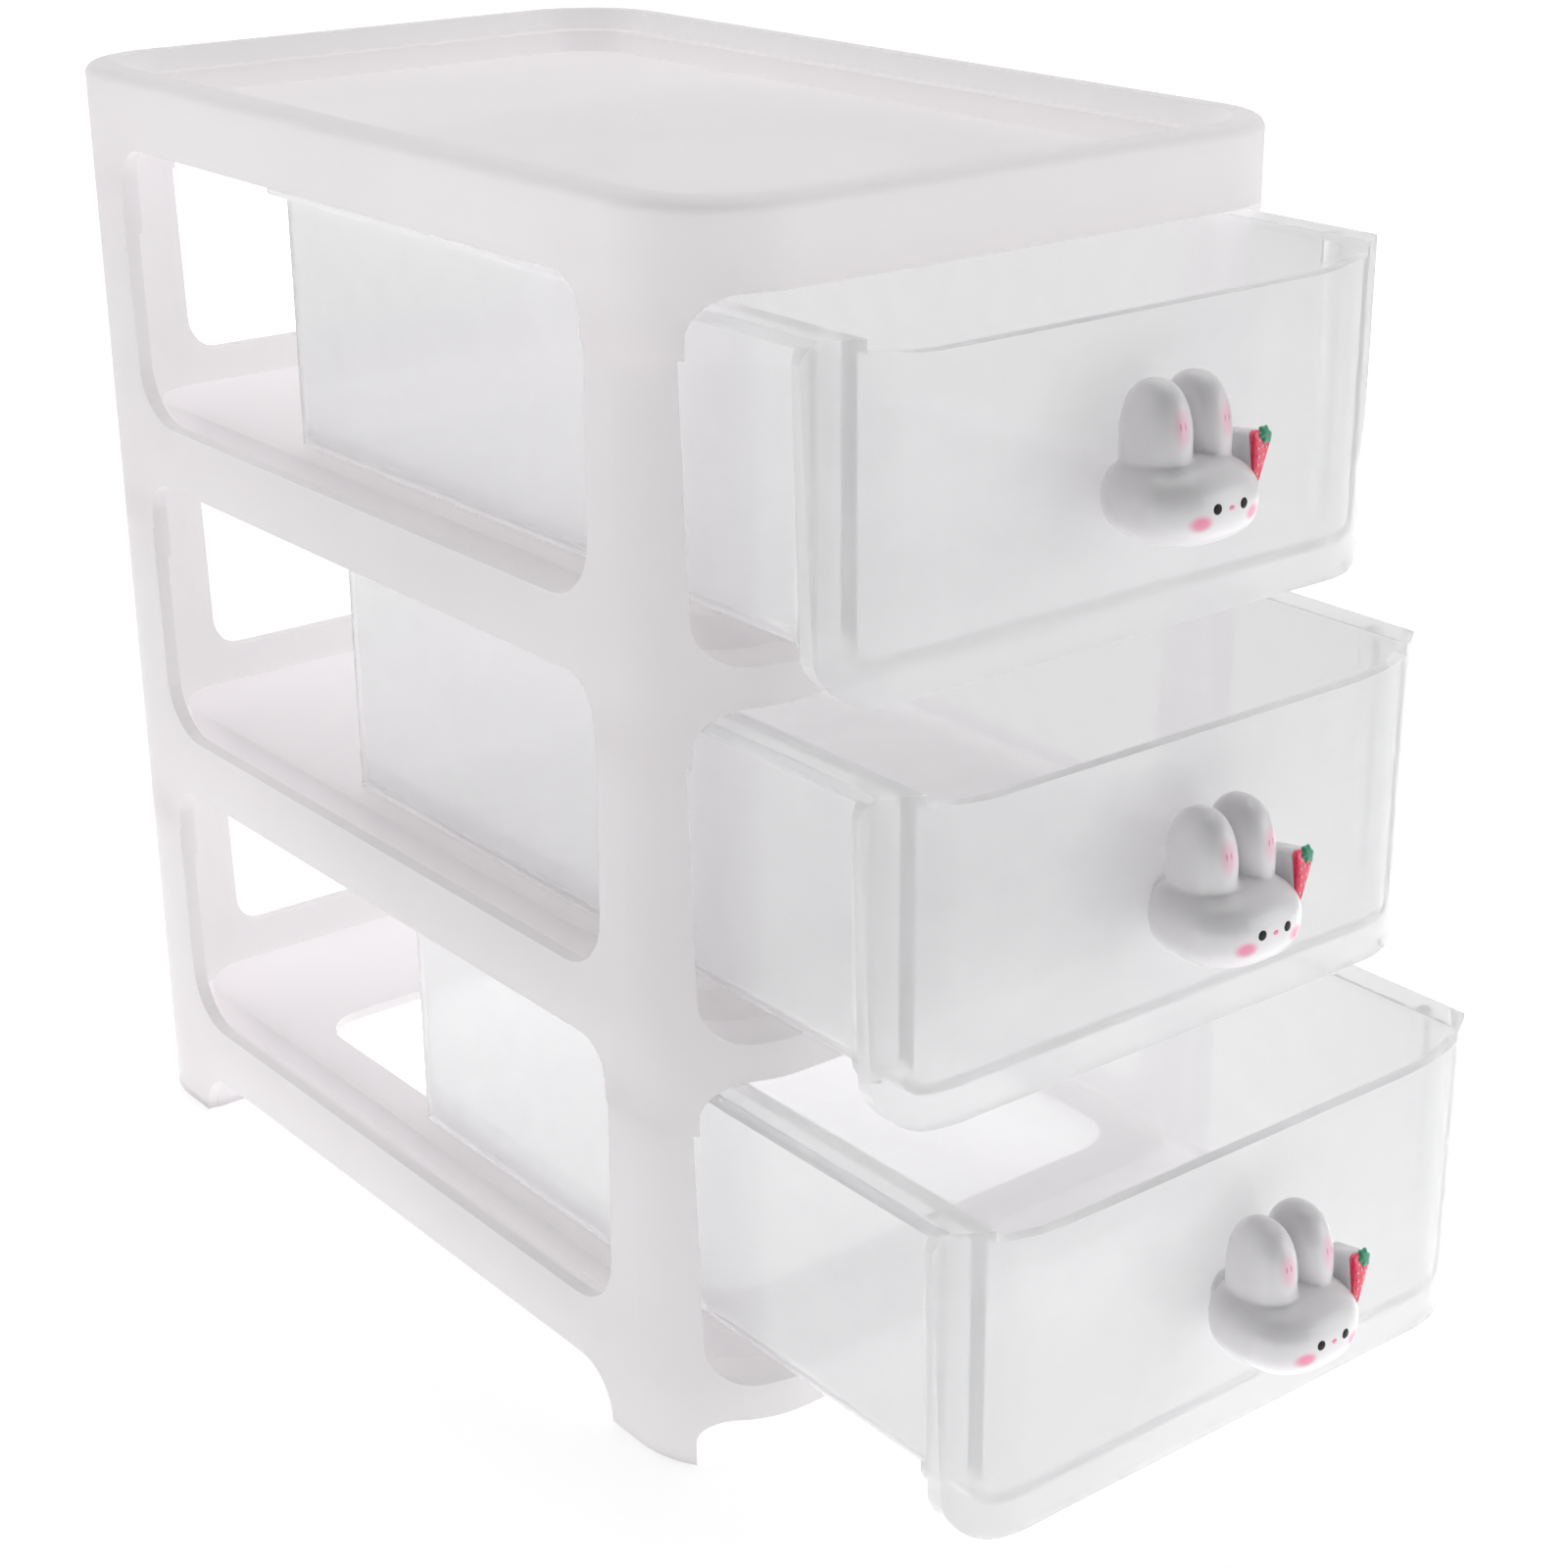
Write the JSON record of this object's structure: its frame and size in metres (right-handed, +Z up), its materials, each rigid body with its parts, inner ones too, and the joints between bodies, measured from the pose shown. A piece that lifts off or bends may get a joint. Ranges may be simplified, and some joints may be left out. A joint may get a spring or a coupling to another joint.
{
  "type": "desktop drawer cabinet",
  "caption": "Small open-sided plastic cabinet with clear pull-out drawers, rabbit-head knobs and a tray top, for cosmetics and desk supplies.",
  "frame": {"origin": "on the surface the feet stand on, at the centre of the whole's plan with its drawers standing open as at rest", "axes": "+X to the right along the front, +Y from the drawer fronts to the back, +Z up"},
  "size_m": [0.13, 0.2813, 0.215],
  "materials": {
    "white_plastic": "satin, slightly milky",
    "clear_plastic": "frosted clear",
    "knob_plastic": "gloss",
    "strawberry_red": "gloss",
    "screw_steel": "plated"
  },
  "bodies": {
    "cabinet": {"top_cover": "white_plastic", "upper_shelf": "white_plastic", "lower_shelf": "white_plastic", "base_frame": "white_plastic"},
    "top_drawer": {"drawer_top": "clear_plastic", "knob_top": "knob_plastic", "strawberry_top": "strawberry_red", "screw_top": "screw_steel"},
    "middle_drawer": {"drawer_middle": "clear_plastic", "knob_middle": "knob_plastic", "strawberry_middle": "strawberry_red", "screw_middle": "screw_steel"},
    "bottom_drawer": {"drawer_bottom": "clear_plastic", "knob_bottom": "knob_plastic", "strawberry_bottom": "strawberry_red", "screw_bottom": "screw_steel"}
  },
  "joints": [
    {"name": "top_drawer_slide", "type": "slide", "parent": "cabinet", "child": "top_drawer", "axis": [0, -1, 0], "range_m": [-0.0255, 0.0945]},
    {"name": "middle_drawer_slide", "type": "slide", "parent": "cabinet", "child": "middle_drawer", "axis": [0, -1, 0], "range_m": [-0.039, 0.081]},
    {"name": "bottom_drawer_slide", "type": "slide", "parent": "cabinet", "child": "bottom_drawer", "axis": [0, -1, 0], "range_m": [-0.056, 0.064]}
  ]
}
